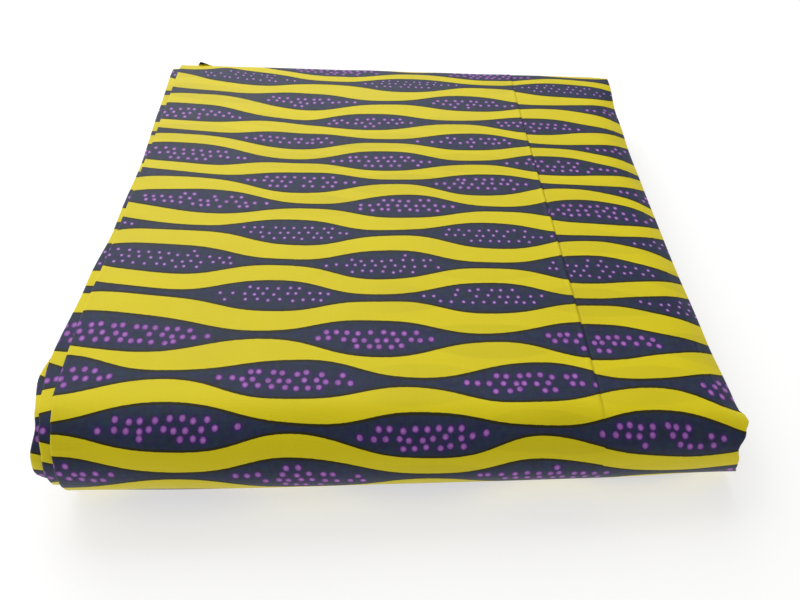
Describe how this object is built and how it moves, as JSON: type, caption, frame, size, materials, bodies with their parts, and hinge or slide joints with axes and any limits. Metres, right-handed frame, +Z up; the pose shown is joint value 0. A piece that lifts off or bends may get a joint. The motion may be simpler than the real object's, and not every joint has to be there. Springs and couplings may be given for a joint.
{
  "type": "folded wax print fabric",
  "caption": "Cut length of yellow wax print cotton with swelling navy stripes, folded into a flat square packet with a round front fold and stepped leaf edges.",
  "frame": {"origin": "middle of the packet's underside, at the bottom of the bounding box", "axes": "+Z up, +Y from the round front fold to the back edge, +X from the stepped left edge to the right edge"},
  "size_m": [0.3195, 0.3109, 0.0535],
  "materials": {
    "printed_cotton": "smooth printed cotton, a faint waxy sheen, yellow ground with navy stripes and purple dots",
    "folded_edges": "the same printed cotton at its folded edges"
  },
  "bodies": {
    "root": {"outer_leaf": "printed_cotton", "second_leaf": "printed_cotton", "third_leaf": "printed_cotton", "hidden_layers": "folded_edges"}
  },
  "joints": []
}
